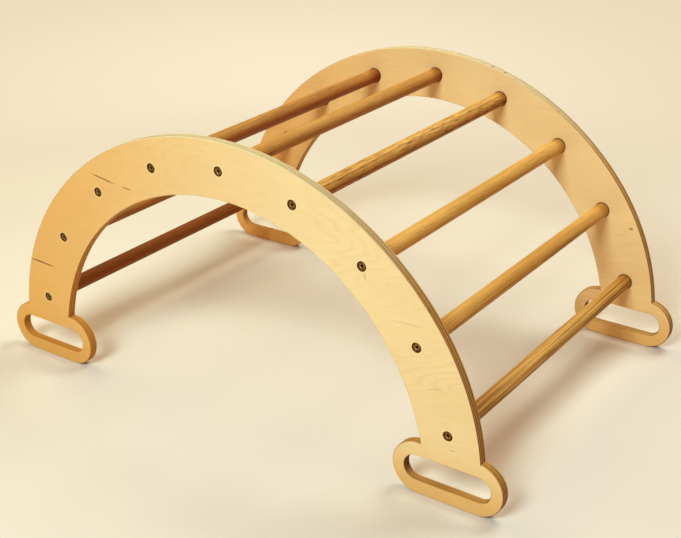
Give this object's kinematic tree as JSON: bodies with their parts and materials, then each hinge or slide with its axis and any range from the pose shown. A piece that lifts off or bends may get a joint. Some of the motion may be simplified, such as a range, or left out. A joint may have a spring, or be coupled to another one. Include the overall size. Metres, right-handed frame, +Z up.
{
  "type": "wooden rocker arch",
  "caption": "Half-round wooden climbing arch: two curved plywood sides on slotted feet, joined by round rungs.",
  "frame": {"origin": "on the floor, midway between the feet and midway between the two sides", "axes": "+X along the arch from the left feet to the right feet, +Y along the rungs from the front side to the back side, +Z up"},
  "size_m": [0.9618, 0.616, 0.462],
  "materials": {
    "birch_plywood": "clear satin oil on birch faces, open plies on the edges",
    "rung_hardwood": "oiled straight-grained dowel",
    "bolt_bronze": "dark bronze plated steel",
    "insert_zinc": "yellow zinc plated steel"
  },
  "bodies": {
    "root": {"front_side_panel": "birch_plywood", "back_side_panel": "birch_plywood", "rung_1": "rung_hardwood", "rung_2": "rung_hardwood", "rung_3": "rung_hardwood", "rung_4": "rung_hardwood", "rung_5": "rung_hardwood", "rung_6": "rung_hardwood", "rung_7": "rung_hardwood", "rung_8": "rung_hardwood", "rung_9": "rung_hardwood", "front_bolt_1": "bolt_bronze", "front_bolt_2": "bolt_bronze", "front_bolt_3": "bolt_bronze", "front_bolt_4": "bolt_bronze", "front_bolt_5": "bolt_bronze", "front_bolt_6": "bolt_bronze", "front_bolt_7": "bolt_bronze", "front_bolt_8": "bolt_bronze", "front_bolt_9": "bolt_bronze", "back_bolt_1": "bolt_bronze", "back_bolt_2": "bolt_bronze", "back_bolt_3": "bolt_bronze", "back_bolt_4": "bolt_bronze", "back_bolt_5": "bolt_bronze", "back_bolt_6": "bolt_bronze", "back_bolt_7": "bolt_bronze", "back_bolt_8": "bolt_bronze", "back_bolt_9": "bolt_bronze", "front_insert_1": "insert_zinc", "front_insert_2": "insert_zinc", "front_insert_3": "insert_zinc", "front_insert_4": "insert_zinc", "front_insert_5": "insert_zinc", "front_insert_6": "insert_zinc", "front_insert_7": "insert_zinc", "front_insert_8": "insert_zinc", "front_insert_9": "insert_zinc", "back_insert_1": "insert_zinc", "back_insert_2": "insert_zinc", "back_insert_3": "insert_zinc", "back_insert_4": "insert_zinc", "back_insert_5": "insert_zinc", "back_insert_6": "insert_zinc", "back_insert_7": "insert_zinc", "back_insert_8": "insert_zinc", "back_insert_9": "insert_zinc"}
  },
  "joints": []
}
